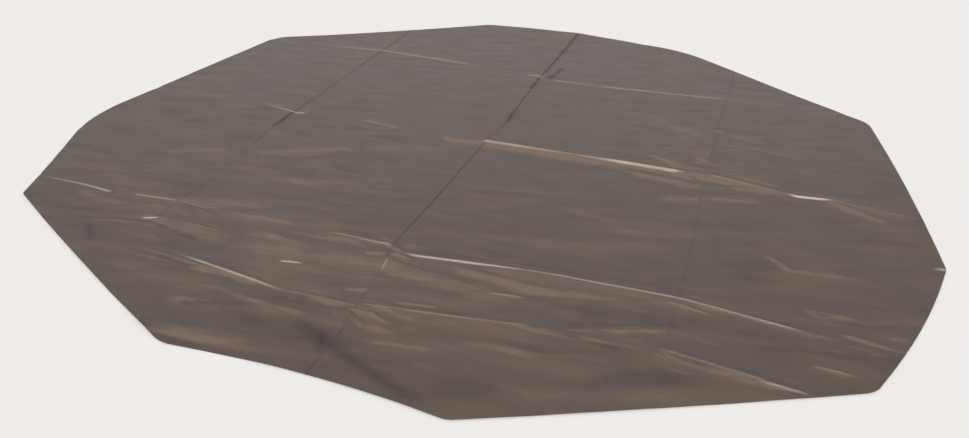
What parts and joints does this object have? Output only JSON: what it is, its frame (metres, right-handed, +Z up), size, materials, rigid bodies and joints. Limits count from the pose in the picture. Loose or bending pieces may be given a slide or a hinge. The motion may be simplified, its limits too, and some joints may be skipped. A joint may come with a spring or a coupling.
{
  "type": "spa cover",
  "caption": "Thin ten-sided plastic film sheet, spread flat, hinged along its packing folds so that it folds up into a stack of rows.",
  "frame": {"origin": "on the ground under the crossing of the two middle folds, at the middle of the sheet's box", "axes": "+X across the sheet along the ridges, +Y away from the near edge, +Z up from the ground"},
  "size_m": [3.54, 3.4, 0.017],
  "materials": {
    "film": "half-glossy dark brown-grey polyethylene film, creased and finely crinkled"
  },
  "bodies": {
    "midfar_row": {"midfar_left_panel": "film", "midfar_midleft_panel": "film", "midfar_midright_panel": "film", "midfar_right_panel": "film", "far_ridge_near_flank": "film", "centre_ridge_far_flank": "film"},
    "far_row": {"far_left_panel": "film", "far_midleft_panel": "film", "far_midright_panel": "film", "far_right_panel": "film", "far_ridge_far_flank": "film"},
    "midnear_row": {"midnear_left_panel": "film", "midnear_midleft_panel": "film", "midnear_midright_panel": "film", "midnear_right_panel": "film", "centre_ridge_near_flank": "film", "near_ridge_far_flank": "film"},
    "near_row": {"near_left_panel": "film", "near_midleft_panel": "film", "near_midright_panel": "film", "near_right_panel": "film", "near_ridge_near_flank": "film"}
  },
  "joints": [
    {"name": "far_fold", "type": "hinge", "parent": "midfar_row", "child": "far_row", "pos_m": [0, 0.93, 0.0083], "axis": [1, 0, 0], "range_deg": [0, 179.99]},
    {"name": "centre_fold", "type": "hinge", "parent": "midfar_row", "child": "midnear_row", "pos_m": [0, 0, 0.0172], "axis": [-1, 0, 0], "range_deg": [0, 179.99]},
    {"name": "near_fold", "type": "hinge", "parent": "midnear_row", "child": "near_row", "pos_m": [0, -0.93, 0.0083], "axis": [-1, 0, 0], "range_deg": [0, 179.99]}
  ]
}
